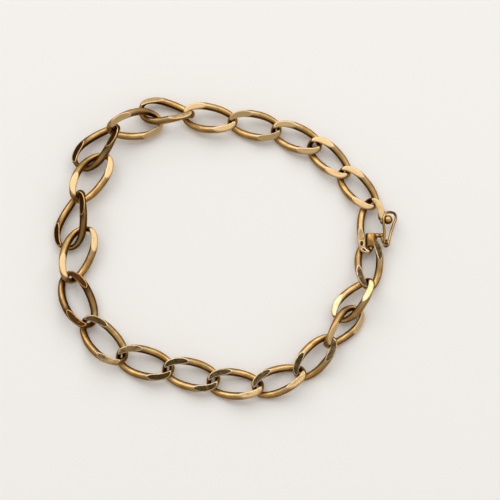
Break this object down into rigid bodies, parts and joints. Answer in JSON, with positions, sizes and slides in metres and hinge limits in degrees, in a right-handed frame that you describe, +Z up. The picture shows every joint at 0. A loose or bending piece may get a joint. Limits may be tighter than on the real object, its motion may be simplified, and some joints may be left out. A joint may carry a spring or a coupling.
{
  "type": "link bracelet",
  "caption": "Closed curb-link bracelet of twisted, filed gold links that grow away from the clasp, with a tongue-and-barrel clasp, a safety ball and a hinged wire safety catch.",
  "frame": {"origin": "middle of the closed bracelet on the surface that it lies on", "axes": "+Z up, -Y towards the viewer, +X towards the clasp"},
  "size_m": [0.0654, 0.0592, 0.0061],
  "materials": {
    "gold": "old yellow gold, polished and worn, filed flats finely scratched",
    "catch_gold": "polished yellow gold wire"
  },
  "bodies": {
    "bracelet": {"clasp_box_link": "gold", "link_01": "gold", "link_02": "gold", "link_03": "gold", "link_04": "gold", "link_05": "gold", "link_06": "gold", "link_07": "gold", "link_08": "gold", "link_09": "gold", "link_10": "gold", "link_11": "gold", "link_12": "gold", "link_13": "gold", "link_14": "gold", "link_15": "gold", "link_16": "gold", "link_17": "gold", "link_18": "gold", "link_19": "gold", "link_20": "gold", "clasp_tongue_link": "gold"},
    "safety_catch": {"safety_catch": "catch_gold"}
  },
  "joints": [
    {"name": "safety_catch_hinge", "type": "hinge", "parent": "bracelet", "child": "safety_catch", "pos_m": [0.03048, 0.00025, 0.00204], "axis": [0.708, 0.0123, -0.7061], "range_deg": [0, 130]}
  ]
}
